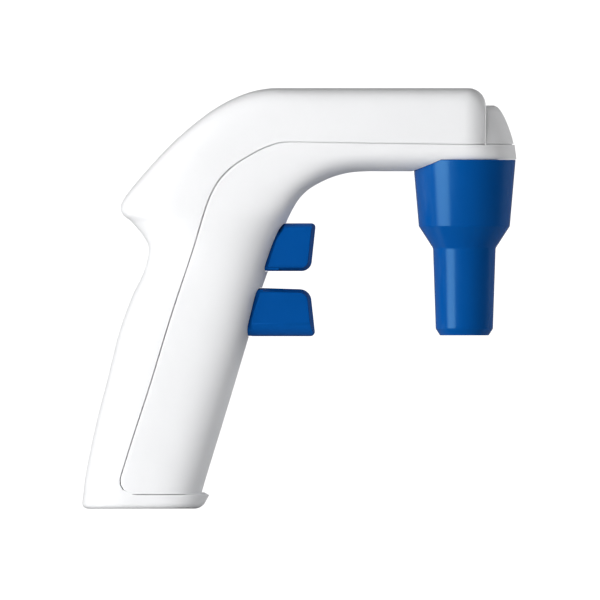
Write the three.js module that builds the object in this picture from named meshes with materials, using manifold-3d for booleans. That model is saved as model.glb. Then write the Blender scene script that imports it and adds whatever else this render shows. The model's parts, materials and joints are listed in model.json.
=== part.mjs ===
// Motorized pipette controller: a pistol-shaped housing with a battery in the grip, a diaphragm pump in
// the head, two valve buttons on the grip's front and a nose cone that holds the pipette.
// Millimetres. +Z is up, +X points to the nose, and Y = 0 is the mid-plane. The foot stands on Z = 0.
import * as THREE from 'three';
import { mergeVertices } from 'three/addons/utils/BufferGeometryUtils.js';
import Module from 'manifold-3d';

const wasm = await Module();
wasm.setup();

// ---- Driving dimensions ----
const WALL = 2.2;
const GAP = 0.3;
const ARM = { top: 155.6, bottom: 124.8, halfWidth: 19.5, squareness: 6 };
const ARM_MIDDLE = (ARM.top + ARM.bottom) / 2;
const SECTION_POINTS = 28;
const CAVITY_POINTS = 20;

// The nose cone and everything on its axis
const CONE_X = 61;
const CONE_SEAT = 129.2;
const CONE_RECESS_RADIUS = 19.4;
const RECEPTACLE_HOLE_RADIUS = 12.8;
const SEAT_SCREW_Y = 14.9;

// The end of the rear shell's arm, and the cap that closes the nose in front of it
const ARM_END = { x: 68.9, topRadius: 6.4, sideRadius: 12 };
const CAP = { back: 69.2, bottom: 134.9, top: 149.2, inset: 1.9, wall: 1.8, edge: 2.6 };

// The foot: its back and front at the floor, how far they lean per unit of height, and its proud front lip
const FOOT = {
  top: 5.05,
  back: -80.6,
  backLean: 0.123,
  front: -37.83,
  frontLean: 0.287,
  lip: 1.7,
  lipLean: 0.26,
  half: 17.25,
  square: 3.0,
  crown: 0,
};

// The two buttons: height range, pocket floor, and the plane where the skirt ends inside the grip
const BUTTON_HALF_WIDTH = 10;
const ASPIRATE = { low: 87.9, high: 105.6, skirt: -17.5, pocket: -9.5 };
const DISPENSE = { low: 63.8, high: 81.7, skirt: -23.5, pocket: -13 };
ASPIRATE.axis = (ASPIRATE.low + ASPIRATE.high) / 2;
DISPENSE.axis = (DISPENSE.low + DISPENSE.high) / 2;

// The valve block behind the buttons, the circuit board behind it
const BLOCK = { back: -41, front: -31, halfWidth: 9, low: 66, high: 105 };
const STEM_RADIUS = 1.9;
const STEM_END = -42.3;
const SPRING_RADIUS = 5;
const SPRING_WIRE = 0.35;
const BOARD = { back: -50.4, front: -48.8, halfWidth: 8, low: 69, high: 104 };
const BLOCK_SCREW = { y: 6, z: 84.8 };
const BOARD_SCREW = { y: 5.5, z: 85 };

// The diaphragm pump and its motor
const MOTOR = { z: 139, radius: 10, back: -9.7, front: 17.5 };
const CRANK = { x: -19, throw: 1.2, radius: 3.6, halfLength: 1.8 };
const FRAME = { back: -28, front: -10, halfWidth: 9.5, low: 123.7, floor: 127, high: 146 };
const PUMP_SCREW = { x: -12.6, y: 7.4 };
const HOSE = { outer: 2.5, inner: 1.7 };
const NIPPLE = { outer: 1.2, inner: 0.6 };

// The grip's own frame: tilted forward, with the cells lying along it
const GRIP_ORIGIN = [-55.65, 0, 16.5];
const GRIP_TILT = THREE.MathUtils.degToRad(15);
const CELL = { radius: 7.25, spacing: 7.7, low: -3.6, high: 47.4, nubRadius: 2.7, nub: 1.1 };
const CRADLE = { halfDepth: 15.6, low: -6.1, high: 49.9, back: -9, front: -0.5 };
const SOCKET_X = -66;

// ---- Body outline: matching points on the back or top edge and on the front or underside edge ----
// half is half the width, square says how box-like the section is (2 is an ellipse), and crown how much
// of its depth the underside loses towards the sides.
const STATIONS = [
  { back: [-80.18, 3.4], front: [-36.85, 3.4], half: 17.25, square: 3.0, crown: 0 },
  { back: [-79.0, 13.0], front: [-34.1, 13.0], half: 17.4, square: 3.0, crown: 0 },
  { back: [-75.4, 30.8], front: [-28.7, 30.5], half: 17.6, square: 3.0, crown: 0 },
  { back: [-71.0, 48.0], front: [-23.4, 48.0], half: 17.8, square: 3.0, crown: 0 },
  { back: [-66.9, 64.5], front: [-18.5, 64.5], half: 17.9, square: 3.0, crown: 0 },
  { back: [-62.2, 77.8], front: [-14.9, 78.4], half: 18.0, square: 2.9, crown: 0 },
  { back: [-57.6, 87.6], front: [-12.0, 86.8], half: 18.2, square: 2.7, crown: 0 },
  { back: [-55.7, 96.0], front: [-9.6, 93.5], half: 18.5, square: 2.6, crown: 0 },
  { back: [-57.5, 101.2], front: [-7.7, 98.6], half: 18.8, square: 2.6, crown: 0 },
  { back: [-61.6, 106.4], front: [-6.0, 102.9], half: 19.1, square: 2.8, crown: 0 },
  { back: [-65.2, 109.8], front: [-4.9, 105.8], half: 19.3, square: 3.1, crown: 0 },
  { back: [-66.0, 112.9], front: [-4.1, 107.6], half: 19.4, square: 3.5, crown: 0 },
  { back: [-60.9, 119.5], front: [-2.6, 110.6], half: 19.5, square: 4.2, crown: 0 },
  { back: [-52.0, 130.1], front: [-0.1, 114.6], half: 19.5, square: 5.0, crown: 0.03 },
  { back: [-43.5, 138.5], front: [3.3, 118.0], half: 19.5, square: 5.6, crown: 0.06 },
  { back: [-32.5, 147.2], front: [7.6, 120.6], half: 19.5, square: 6, crown: 0.1 },
  { back: [-22.0, 152.8], front: [12.6, 122.8], half: 19.5, square: 6, crown: 0.14 },
  { back: [-12.0, 155.4], front: [18.5, 124.3], half: 19.5, square: 6, crown: 0.18 },
  { back: [0, ARM.top], front: [25, ARM.bottom], half: 19.5, square: 6, crown: 0.22 },
  { back: [20, ARM.top], front: [32, ARM.bottom], half: 19.5, square: 6, crown: 0.25 },
  { back: [42, ARM.top], front: [45, ARM.bottom], half: 19.5, square: 6, crown: 0.25 },
  { back: [CONE_X, ARM.top], front: [CONE_X, ARM.bottom], half: 19.5, square: 6, crown: 0.25 },
];

// How far the front shell's rim and the cap above it reach at each height
const RIM_REACH = [[124.8, 76.5], [127, 79.8], [129, 80.7], [130.4, 80.6], [134.7, 79.6]];
const CAP_REACH = [
  [134.9, 79.3], [137, 78.8], [139.2, 78.1], [142, 77.1], [144.6, 76.0], [147.2, 74.5], [148.5, 73.4],
  [149.2, 72.0],
];

// The joint line between the front shell and the rear shell, from the nose round to the foot
const SEAM_ARM = [[95, 134.6], [79.3, 134.7], [30, 135.2], [-5.4, 135.6]];
const SEAM_GRIP = [
  [-5.4, 135.6], [-11.8, 134.0], [-17.6, 131.2], [-26.5, 125.1], [-33.1, 115.6], [-39.8, 94.6],
  [-47.5, 71.3], [-55.3, 45.8], [-61.8, 25.8], [-66.1, 12.0],
];
const SEAM_FOOT = { corner: [-61.3, 10.4], radius: 5.2, level: 5.2, end: 0 };

// ---- Materials ----
const material = (color, roughness, metalness = 0) =>
  new THREE.MeshStandardMaterial({ color, roughness, metalness });
const WHITE = material(0xf2f3f4, 0.35);
const BLUE = material(0x0a5aa8, 0.4);
const BUTTON_BLUE = material(0x0b4f99, 0.45);
const SILICONE = material(0xd8dcdc, 0.6);
const BLACK_RUBBER = material(0x1b1c1e, 0.8);
const NATURAL = material(0xe6e2d6, 0.5);
const GREY = material(0x8b8f94, 0.5);
const STEEL = material(0xb9bdc2, 0.3, 1);
const BRASS = material(0xc9a24a, 0.35, 1);
const BOARD_GREEN = material(0x1f6b3a, 0.5);
const CELL_GREEN = material(0x3f9a5a, 0.4);
const RED = material(0xb3261e, 0.5);

// ---- Solids ----
function toSolid(geometry) {
  const bare = geometry.clone();
  bare.deleteAttribute('normal');
  bare.deleteAttribute('uv');
  const merged = mergeVertices(bare, 1e-4);
  const vertProperties = Float32Array.from(merged.attributes.position.array);
  const corners = merged.index.array;
  const kept = [];
  for (let i = 0; i < corners.length; i += 3) {
    const [a, b, c] = [corners[i], corners[i + 1], corners[i + 2]];
    if (a !== b && b !== c && a !== c) kept.push(a, b, c);
  }
  const build = (triangles) =>
    new wasm.Manifold(new wasm.Mesh({ numProp: 3, vertProperties, triVerts: Uint32Array.from(triangles) }));
  const solid = build(kept);
  return solid.volume() > 0 ? solid : build(kept.reverse());
}

function toGeometry(solid) {
  const mesh = solid.getMesh();
  const geometry = new THREE.BufferGeometry();
  geometry.setAttribute('position', new THREE.BufferAttribute(Float32Array.from(mesh.vertProperties), 3));
  geometry.setIndex(new THREE.BufferAttribute(Uint32Array.from(mesh.triVerts), 1));
  return geometry;
}

function join(first, ...others) {
  return others.reduce((solid, other) => solid.add(other), first);
}

function cut(first, ...others) {
  return others.reduce((solid, other) => solid.subtract(other), first);
}

function block(low, high) {
  const size = high.map((value, i) => value - low[i]);
  const geometry = new THREE.BoxGeometry(...size);
  geometry.translate(...low.map((value, i) => value + size[i] / 2));
  return toSolid(geometry);
}

function rod(start, end, radius, sides = 20) {
  const from = new THREE.Vector3(...start);
  const to = new THREE.Vector3(...end);
  const geometry = new THREE.CylinderGeometry(radius, radius, from.distanceTo(to), sides);
  const along = to.clone().sub(from).normalize();
  geometry.applyQuaternion(new THREE.Quaternion().setFromUnitVectors(new THREE.Vector3(0, 1, 0), along));
  geometry.translate(...from.add(to).multiplyScalar(0.5).toArray());
  return toSolid(geometry);
}

// A screw with a round head: the head stands behind start, and the shank runs from start to end.
function screw(start, end, shank, headRadius, headHeight) {
  const from = new THREE.Vector3(...start);
  const along = new THREE.Vector3(...end).sub(from).normalize();
  const headEnd = from.clone().addScaledVector(along, -headHeight);
  const overlap = from.clone().addScaledVector(along, 0.01);
  return join(rod(start, end, shank, 8), rod(headEnd.toArray(), overlap.toArray(), headRadius, 12));
}

// Extrudes an outline in X and Z along Y, from -halfWidth to halfWidth.
function slab(outline, halfWidth) {
  const shape = new THREE.Shape(outline.map(([x, z]) => new THREE.Vector2(x, z)));
  const geometry = new THREE.ExtrudeGeometry(shape, { depth: 2 * halfWidth, bevelEnabled: false });
  geometry.rotateX(Math.PI / 2);
  geometry.translate(0, halfWidth, 0);
  return toSolid(geometry);
}

// Turns a profile of [radius, height] points about the vertical line through x.
function turned(profile, x, segments) {
  const points = profile.map(([radius, height]) => new THREE.Vector2(radius, height));
  const geometry = new THREE.LatheGeometry(points, segments);
  geometry.rotateX(Math.PI / 2);
  geometry.translate(x, 0, 0);
  return toSolid(geometry);
}

// Turns a profile of [radius, x] points about the line along X at height z.
function turnedAlongX(profile, z, segments) {
  const points = profile.map(([radius, x]) => new THREE.Vector2(radius, x));
  const geometry = new THREE.LatheGeometry(points, segments);
  geometry.rotateZ(-Math.PI / 2);
  geometry.translate(0, 0, z);
  return toSolid(geometry);
}

function circle(radius, sides) {
  const points = [];
  for (let i = 0; i < sides; i += 1) {
    const angle = (2 * Math.PI * i) / sides;
    points.push(new THREE.Vector2(radius * Math.cos(angle), radius * Math.sin(angle)));
  }
  return points;
}

function tube(curve, outer, inner, sides, steps) {
  const shape = new THREE.Shape(circle(outer, sides));
  if (inner > 0) shape.holes.push(new THREE.Path(circle(inner, sides).reverse()));
  return toSolid(new THREE.ExtrudeGeometry(shape, { extrudePath: curve, steps, bevelEnabled: false }));
}

function route(points) {
  return new THREE.CatmullRomCurve3(points.map((point) => new THREE.Vector3(...point)));
}

class HelixAlongX extends THREE.Curve {
  constructor(start, end, z, radius, turns) {
    super();
    Object.assign(this, { start, end, z, radius, turns });
  }

  getPoint(t, target = new THREE.Vector3()) {
    const angle = 2 * Math.PI * this.turns * t;
    const x = this.start + (this.end - this.start) * t;
    return target.set(x, this.radius * Math.cos(angle), this.z + this.radius * Math.sin(angle));
  }
}

// ---- Housing surface ----
// Reads a table of [height, reach] rows, and holds its end values outside it.
function reachAt(table, z) {
  const last = table.length - 1;
  if (z <= table[0][0]) return table[0][1];
  if (z >= table[last][0]) return table[last][1];
  const upper = table.findIndex(([height]) => height > z);
  const [z0, x0] = table[upper - 1];
  const [z1, x1] = table[upper];
  return x0 + ((x1 - x0) * (z - z0)) / (z1 - z0);
}

// One section: points round a squared-off ellipse between the back point and the front point.
function sectionRing(back, front, { half, square, crown }, count) {
  const points = [];
  const middle = [(back[0] + front[0]) / 2, (back[1] + front[1]) / 2];
  const toBack = [(back[0] - front[0]) / 2, (back[1] - front[1]) / 2];
  for (let i = 0; i < count; i += 1) {
    const angle = (2 * Math.PI * i) / count;
    const cosine = Math.cos(angle);
    const sine = Math.sin(angle);
    const stretch = (Math.abs(cosine) ** square + Math.abs(sine) ** square) ** (-1 / square);
    const flattening = cosine < 0 ? 1 - crown * (sine * stretch) ** 2 : 1;
    const towardsBack = cosine * stretch * flattening;
    const x = middle[0] + toBack[0] * towardsBack;
    const z = middle[1] + toBack[1] * towardsBack;
    points.push([x, half * sine * stretch, z]);
  }
  return points;
}

// Joins rings of points into one closed solid, with a fan over each end that isn't already a line.
function loft(rings, closeEnd = true) {
  const count = rings[0].length;
  const positions = rings.flat(2);
  const index = [];
  for (let ring = 0; ring + 1 < rings.length; ring += 1) {
    for (let i = 0; i < count; i += 1) {
      const a = ring * count + i;
      const b = ring * count + ((i + 1) % count);
      index.push(a, b, b + count, a, b + count, a + count);
    }
  }
  const lastRing = (rings.length - 1) * count;
  for (let i = 1; i + 1 < count; i += 1) {
    index.push(0, i + 1, i);
    if (closeEnd) index.push(lastRing, lastRing + i, lastRing + i + 1);
  }
  const geometry = new THREE.BufferGeometry();
  geometry.setAttribute('position', new THREE.Float32BufferAttribute(positions, 3));
  geometry.setIndex(index);
  return toSolid(geometry);
}

// Moves each outline point inwards, square to the outline, by the wall's thickness.
function insetOutline(points, towards, distance) {
  return points.map(([x, z], i) => {
    const before = points[Math.max(0, i - 1)];
    const after = points[Math.min(points.length - 1, i + 1)];
    const normal = new THREE.Vector2(before[1] - after[1], after[0] - before[0]).normalize();
    const inward = normal.dot(new THREE.Vector2(towards[i][0] - x, towards[i][1] - z)) > 0 ? 1 : -1;
    return [x + normal.x * distance * inward, z + normal.y * distance * inward];
  });
}

function housingRings(inset, count) {
  const backs = STATIONS.map((station) => station.back);
  const fronts = STATIONS.map((station) => station.front);
  const backOutline = insetOutline(backs, fronts, inset);
  const frontOutline = insetOutline(fronts, backs, inset);
  return STATIONS.map((station, i) =>
    sectionRing(backOutline[i], frontOutline[i], { ...station, half: station.half - inset }, count));
}

// The front shell's nose carries the arm's last section round to the mid-plane.
function noseRings(armRing, inset, steps) {
  const rings = [];
  for (let step = 1; step <= steps; step += 1) {
    const angle = (Math.PI / 2) * (step / steps);
    const ring = armRing.map(([, y, z]) => {
      const reach = reachAt(RIM_REACH, z) - inset - CONE_X;
      const side = step === steps ? 0 : y * Math.cos(angle);
      return [CONE_X + reach * Math.sin(angle), side, z];
    });
    rings.push(ring);
  }
  return rings;
}

// Past the cone's axis the rear shell's sides turn in, and its top rolls down to the flat end.
function armEndRings(armRing, inset, steps) {
  const rolled = ARM_END.topRadius - inset;
  const turnedIn = ARM_END.sideRadius - inset;
  const halfWidth = ARM.halfWidth - inset;
  const top = ARM.top - inset - ARM_MIDDLE;
  const rings = [];
  for (let step = 1; step <= steps; step += 1) {
    const along = (ARM_END.x - inset - CONE_X) * Math.sin((Math.PI / 2) * (step / steps));
    const past = Math.max(0, CONE_X + along - (ARM_END.x - ARM_END.topRadius));
    const drop = rolled - Math.sqrt(Math.max(0, rolled ** 2 - past ** 2));
    const narrowed = 1 - (turnedIn - Math.sqrt(turnedIn ** 2 - along ** 2)) / halfWidth;
    const ring = armRing.map(([, y, z]) => {
      const rise = Math.max(0, z - ARM_MIDDLE);
      return [CONE_X + along, y * narrowed, z - (drop * rise) / top];
    });
    rings.push(ring);
  }
  return rings;
}

// The foot keeps the grip's sides and back, and its front stands proud as a lip.
function footRing(z, inset) {
  const back = [FOOT.back + FOOT.backLean * z + inset, z];
  const front = [FOOT.front + FOOT.frontLean * z - inset, z];
  const ring = sectionRing(back, front, { ...FOOT, half: FOOT.half - inset }, SECTION_POINTS);
  return ring.map(([x, y], i) => {
    const forward = Math.max(0, -Math.cos((2 * Math.PI * i) / SECTION_POINTS));
    return [x + (FOOT.lip + FOOT.lipLean * z) * forward, y, z];
  });
}

function footSolid() {
  const levels = [[0, 2.4], [0.35, 1.3], [1.0, 0.5], [2.0, 0], [FOOT.top, 0]];
  return loft(levels.map(([z, inset]) => footRing(z, inset)));
}

// One shell's skin: the body with its own end over the cone, hollowed out.
function skin(endRings, closeEnd) {
  const outer = housingRings(0, SECTION_POINTS);
  outer.push(...endRings(outer.at(-1), 0, 6));
  const inner = housingRings(WALL, CAVITY_POINTS);
  inner[0] = inner[0].map(([x, y]) => [x + 0.2, y, WALL + 0.4]);
  inner.push(...endRings(inner.at(-1), WALL, 4));
  const keptOverCone = rod([CONE_X, 0, 100], [CONE_X, 0, CONE_SEAT + WALL], CONE_RECESS_RADIUS + WALL, 32);
  const cavity = cut(loft(inner, closeEnd), keptOverCone);
  return cut(join(loft(outer, closeEnd), footSolid()), cavity, coneRecess());
}

// The cap's plan is a D: a round front and a straight back, narrowing at the rounded top edge.
function capRing(z, inset) {
  const over = Math.max(0, z - (CAP.top - CAP.edge));
  const tuck = CAP.edge - Math.sqrt(Math.max(0, CAP.edge ** 2 - over ** 2));
  const side = ARM.halfWidth - CAP.inset - tuck - inset;
  const reach = reachAt(CAP_REACH, z) - CONE_X - inset;
  const start = Math.asin((CAP.back + inset - CONE_X) / reach);
  const ring = [];
  for (let i = 0; i <= 12; i += 1) {
    const angle = start + ((Math.PI - 2 * start) * i) / 12;
    ring.push([CONE_X + reach * Math.sin(angle), side * Math.cos(angle), z]);
  }
  return ring;
}

function makeNoseCap() {
  const { bottom, top, wall } = CAP;
  const outer = [bottom, 137, 139.2, 142, 144.6, 146.6, 147.8, 148.7, top].map((z) => capRing(z, 0));
  const inner = [bottom - 2, 139.2, 144.6, top - wall].map((z) => capRing(z, wall));
  return cut(loft(outer), loft(inner));
}

function coneRecess() {
  const round = rod([CONE_X, 0, 100], [CONE_X, 0, CONE_SEAT], CONE_RECESS_RADIUS, 48);
  const rim = block([CONE_X - 4, -25, 100], [CONE_X + 25, 25, CONE_SEAT]);
  return join(round, rim);
}

// ---- Seam regions ----
function offsetPath(points, distance) {
  return points.map(([x, z], i) => {
    const before = points[Math.max(0, i - 1)];
    const after = points[Math.min(points.length - 1, i + 1)];
    const normal = new THREE.Vector2(before[1] - after[1], after[0] - before[0]).normalize();
    return [x + normal.x * distance, z + normal.y * distance];
  });
}

function seamPath() {
  const gripCurve = new THREE.CatmullRomCurve3(SEAM_GRIP.map(([x, z]) => new THREE.Vector3(x, 0, z)));
  const grip = gripCurve.getPoints(20).map((point) => [point.x, point.z]);
  const { corner, radius, level, end } = SEAM_FOOT;
  const round = [];
  for (let step = 1; step <= 4; step += 1) {
    const angle = Math.PI + (Math.PI / 2) * (step / 4);
    round.push([corner[0] + radius * Math.cos(angle), corner[1] + radius * Math.sin(angle)]);
  }
  return [...SEAM_ARM.slice(0, -1), ...grip, ...round, [end, level]];
}

// Everything in front of and below the seam, moved towards or away from the seam by grow.
function frontRegion(grow) {
  const path = offsetPath(seamPath(), -grow);
  return slab([...path, [96, path.at(-1)[1]], [96, path[0][1]]], 30);
}

// ---- Buttons ----
function buttonWindow(button) {
  const side = BUTTON_HALF_WIDTH + GAP;
  return block([-27, -side, button.low - GAP], [12, side, button.high + GAP]);
}

// The outer face leans back a little and its corner towards the other button is large and round.
function buttonOutline(button, upper) {
  const rounding = 4.2;
  const corner = 1.2;
  const face = 6.2;
  const lean = 1.3;
  const height = button.high - button.low;
  const points = [[button.skirt, 0], [face - lean - rounding, 0]];
  for (let step = 0; step <= 5; step += 1) {
    const angle = -Math.PI / 2 + (Math.PI / 2) * (step / 5);
    points.push([face - lean + rounding * (Math.cos(angle) - 1), rounding * (1 + Math.sin(angle))]);
  }
  points.push([face, height - corner]);
  points.push([face - corner, height]);
  points.push([button.skirt, height]);
  const outline = points.map(([x, rise]) => [x, upper ? button.low + rise : button.high - rise]);
  return upper ? outline : outline.reverse();
}

function makeButton(button, upper) {
  const side = BUTTON_HALF_WIDTH;
  const body = slab(buttonOutline(button, upper), side);
  const plan = new THREE.Shape();
  plan.moveTo(-60, -side);
  plan.lineTo(3, -side);
  plan.absarc(3, -side + 4, 4, -Math.PI / 2, 0, false);
  plan.absarc(3, side - 4, 4, 0, Math.PI / 2, false);
  plan.lineTo(-60, side);
  const planSolid = new THREE.ExtrudeGeometry(plan, { depth: 60, bevelEnabled: false, curveSegments: 5 });
  planSolid.translate(0, 0, 55);
  const pocket = rod([-60, 0, button.axis], [button.pocket, 0, button.axis], 6.2, 18);
  const tabs = [button.low - 1.6, button.high - 0.4].map((low) => {
    const centre = low + 1;
    const front = centre > button.axis ? button.skirt + 3.2 : button.skirt + 1.1;
    return block([button.skirt, -2.6, low], [Math.min(front, button.skirt + 3.2), 2.6, low + 2]);
  });
  return cut(join(body.intersect(toSolid(planSolid)), ...tabs), pocket);
}

function makeStem(button) {
  const front = button.pocket - GAP;
  const profile = [
    [0, STEM_END], [STEM_RADIUS - 0.4, STEM_END], [STEM_RADIUS, STEM_END + 0.5], [STEM_RADIUS, -38.4],
    [1.2, -37.8], [1.2, -36.2], [STEM_RADIUS, -35.6], [STEM_RADIUS, front], [0, front],
  ];
  return turnedAlongX(profile, button.axis, 12);
}

function makeSpring(button) {
  const wire = SPRING_WIRE;
  const start = BLOCK.front + wire + GAP;
  const end = button.pocket - wire - GAP;
  return tube(new HelixAlongX(start, end, button.axis, SPRING_RADIUS, 5), wire, 0, 4, 40);
}

function makeStemSeal(button) {
  const geometry = new THREE.TorusGeometry(3.1, 0.75, 5, 12);
  geometry.rotateY(Math.PI / 2);
  geometry.translate(BLOCK.front - 1.1, 0, button.axis);
  return toSolid(geometry);
}

function makeSwitch(button) {
  const body = block([BOARD.front + GAP, -3, button.axis - 3], [BOARD.front + 1.8, 3, button.axis + 3]);
  return join(body, rod([BOARD.front + 1, 0, button.axis], [BOARD.front + 2.2, 0, button.axis], 1.2, 12));
}

// ---- Housing shells ----
function seatBoss(side) {
  const y = side * SEAT_SCREW_Y;
  return cut(
    rod([CONE_X, y, 135.6], [CONE_X, y, ARM.top - 2.8], 2.9, 14),
    rod([CONE_X, y, 130], [CONE_X, y, 146], 1.3, 10),
  );
}

function blockBoss(side) {
  const { y, z } = BLOCK_SCREW;
  return cut(
    rod([BLOCK.front + GAP, side * y, z], [-14.9, side * y, z], 2.5, 12),
    rod([BLOCK.front - 1, side * y, z], [-20, side * y, z], 1.3, 10),
  );
}

function boardBoss(side) {
  const { y, z } = BOARD_SCREW;
  return cut(
    rod([BOARD.back - GAP, side * y, z], [-56.2, side * y, z], 2.3, 12),
    rod([BOARD.back + 1, side * y, z], [-55, side * y, z], 1.2, 10),
  );
}

function makeFrontHousing() {
  const seatScrewHoles = [-SEAT_SCREW_Y, SEAT_SCREW_Y].flatMap((y) => [
    rod([CONE_X, y, 120], [CONE_X, y, 133], 1.3, 10),
    rod([CONE_X, y, CONE_SEAT + WALL], [CONE_X, y, 136], 2.4, 14),
  ]);
  const shell = cut(
    skin(noseRings, false).intersect(frontRegion(-GAP / 2)),
    rod([CONE_X, 0, 120], [CONE_X, 0, 133], RECEPTACLE_HOLE_RADIUS, 32),
    ...seatScrewHoles,
    buttonWindow(ASPIRATE),
    buttonWindow(DISPENSE),
  );
  return join(shell, blockBoss(-1), blockBoss(1));
}

function makeRearHousing() {
  const socketHole = rod([SOCKET_X, 0, -2], [SOCKET_X, 0, 6], 4.3, 20);
  const shell = cut(skin(armEndRings, true), frontRegion(GAP / 2), socketHole);
  return join(shell, seatBoss(-1), seatBoss(1), boardBoss(-1), boardBoss(1));
}

// ---- The nose cone's stack ----
function makeNoseCone() {
  return turned([
    [7.4, 64.1], [8.9, 64.1], [9.9, 64.7], [10.5, 65.9], [10.6, 67.0], [11.6, 96.4], [16.85, 104.5],
    [19.0, 128.9], [17.2, 128.9], [16.9, 125.5], [12.9, 125.5], [12.9, 119.0], [16.1, 119.0], [14.9, 105.6],
    [9.8, 97.4], [8.8, 68.0], [7.4, 66.2], [7.4, 64.1],
  ], CONE_X, 28);
}

function makePipetteAdapter() {
  return turned([
    [5.2, 67.4], [7.2, 67.4], [8.4, 69.6], [8.4, 97.4], [10.3, 99.9], [10.3, 103.0], [3.4, 103.0],
    [3.4, 96.5], [1.6, 95.5], [1.6, 87.5], [3.8, 86.0], [5.2, 67.4],
  ], CONE_X, 18);
}

function makeMembraneFilter() {
  return turned([
    [1.5, 97.2], [3.0, 97.2], [3.1, 105.2], [11.8, 106.0], [12.3, 106.6], [12.3, 110.6], [11.8, 111.2],
    [3.1, 112.0], [3.0, 119.0], [1.5, 119.0], [1.5, 97.2],
  ], CONE_X, 18);
}

function makeConeReceptacle() {
  const body = turned([
    [3.4, 117.0], [12.4, 117.0], [12.4, 125.9], [11.5, 125.9], [11.5, 127.4], [12.4, 127.4], [12.4, 131.7],
    [15.2, 131.7], [15.2, 134.0], [3.5, 134.0], [3.5, 135.6], [NIPPLE.outer, 136.0], [NIPPLE.outer, 141.0],
    [NIPPLE.inner, 141.0], [NIPPLE.inner, 121.5], [3.4, 121.5], [3.4, 117.0],
  ], CONE_X, 20);
  const onSeatScrews = (low, high, radius) =>
    [-SEAT_SCREW_Y, SEAT_SCREW_Y].map((y) => rod([CONE_X, y, low], [CONE_X, y, high], radius, 12));
  return cut(join(body, ...onSeatScrews(131.7, 134.0, 2.0)), ...onSeatScrews(125, 136, 1.3));
}

function makeReceptacleRing() {
  const geometry = new THREE.TorusGeometry(12.35, 0.55, 5, 22);
  geometry.translate(CONE_X, 0, 126.6);
  return toSolid(geometry);
}

function makeSeatScrew(side) {
  const y = side * SEAT_SCREW_Y;
  return screw([CONE_X, y, CONE_SEAT - GAP], [CONE_X, y, 144], 1.0, 1.7, 1.3);
}

// ---- Valve block, pump and motor ----
function nipple(start, end) {
  return rod(start, end, NIPPLE.outer, 12);
}

function passage(...points) {
  const legs = points.slice(1).map((point, i) => rod(points[i], point, NIPPLE.inner, 8));
  return join(...legs);
}

const VALVE_PORT = { x: -38, y: 5.5 };
const COMMON_PORT = { x: -34, y: 12.2, z: 100 };

function makeValveBlock() {
  const { back, front, halfWidth, low, high } = BLOCK;
  const { x, y } = VALVE_PORT;
  const common = COMMON_PORT;
  const top = high + 3.5;
  const solid = join(
    block([back, -halfWidth, low], [front, halfWidth, high]),
    nipple([x, -y, high - 1], [x, -y, top]),
    nipple([x, y, high - 1], [x, y, top]),
    block([common.x - 2, halfWidth - 1, common.z - 4], [common.x + 2, common.y + 2, common.z]),
    nipple([common.x, common.y, common.z - 1], [common.x, common.y, common.z + 4]),
  );
  const bores = [ASPIRATE, DISPENSE].flatMap(({ axis }) => [
    rod([back - 1, 0, axis], [front + 1, 0, axis], 2.3, 14),
    rod([front - 2.2, 0, axis], [front + 1, 0, axis], 4.2, 16),
  ]);
  const screws = [-BLOCK_SCREW.y, BLOCK_SCREW.y].map((y) =>
    rod([back - 1, y, BLOCK_SCREW.z], [front + 1, y, BLOCK_SCREW.z], 1.3, 10));
  return cut(
    solid,
    ...bores,
    ...screws,
    passage([x, -y, top + 1], [x, -y, ASPIRATE.axis], [x, 0, ASPIRATE.axis]),
    passage([x, y, top + 1], [x, y, DISPENSE.axis], [x, 0, DISPENSE.axis]),
    passage([common.x, common.y, common.z + 5], [common.x, common.y, 98], [common.x, 0, 98]),
  );
}

function makeBlockScrew(side) {
  const { y, z } = BLOCK_SCREW;
  return screw([BLOCK.back - GAP, side * y, z], [-22, side * y, z], 1.0, 2.0, 1.4);
}

function makeBoardScrew(side) {
  const { y, z } = BOARD_SCREW;
  return screw([BOARD.front + GAP, side * y, z], [-54.5, side * y, z], 0.9, 1.8, 1.2);
}

function makeCircuitBoard() {
  const { back, front, halfWidth, low, high } = BOARD;
  const plate = block([back, -halfWidth, low], [front, halfWidth, high]);
  const chip = block([front - 0.1, 1, 88], [front + 1.1, 6, 92.5]);
  const holes = [-BOARD_SCREW.y, BOARD_SCREW.y].map((y) =>
    rod([back - 1, y, BOARD_SCREW.z], [front + 1, y, BOARD_SCREW.z], 1.2, 10));
  return cut(join(plate, chip), ...holes);
}

function pumpScrewHoles(low, high) {
  return [-1, 1].map((side) => {
    const y = side * PUMP_SCREW.y;
    return rod([PUMP_SCREW.x, y, low], [PUMP_SCREW.x, y, high], 1.1, 10);
  });
}

function makePumpFrame() {
  const { back, front, halfWidth, low, floor, high } = FRAME;
  return cut(
    block([back, -halfWidth, low], [front, halfWidth, high]),
    block([back + 2, -halfWidth - 1, floor], [front - 2, halfWidth + 1, high + 1]),
    rod([CRANK.x, 0, low - 1], [CRANK.x, 0, floor + 1], 5.5, 20),
    rod([front - 3, 0, MOTOR.z], [front + 1, 0, MOTOR.z], 2.2, 14),
    rod([back - 1, 0, MOTOR.z], [back + 3, 0, MOTOR.z], 3.1, 16),
    ...pumpScrewHoles(low - 1, floor + 1),
  );
}

function makePumpHead() {
  const { back, front, halfWidth, low } = FRAME;
  const top = low - 2;
  const bottom = 112;
  const port = 117;
  const valve = CRANK.x - 2;
  const ports = [-VALVE_PORT.y, VALVE_PORT.y].map((y) => nipple([back + 1, y, port], [back - 3.5, y, port]));
  const passages = [-VALVE_PORT.y, VALVE_PORT.y].map((y) =>
    passage([back - 5, y, port], [valve, y, port], [valve, y * 0.6, port], [valve, y * 0.6, top + 1]));
  return cut(
    join(block([back, -halfWidth, bottom], [front, halfWidth, top]), ...ports),
    ...passages,
    ...pumpScrewHoles(bottom - 1, top + 1),
  );
}

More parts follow.
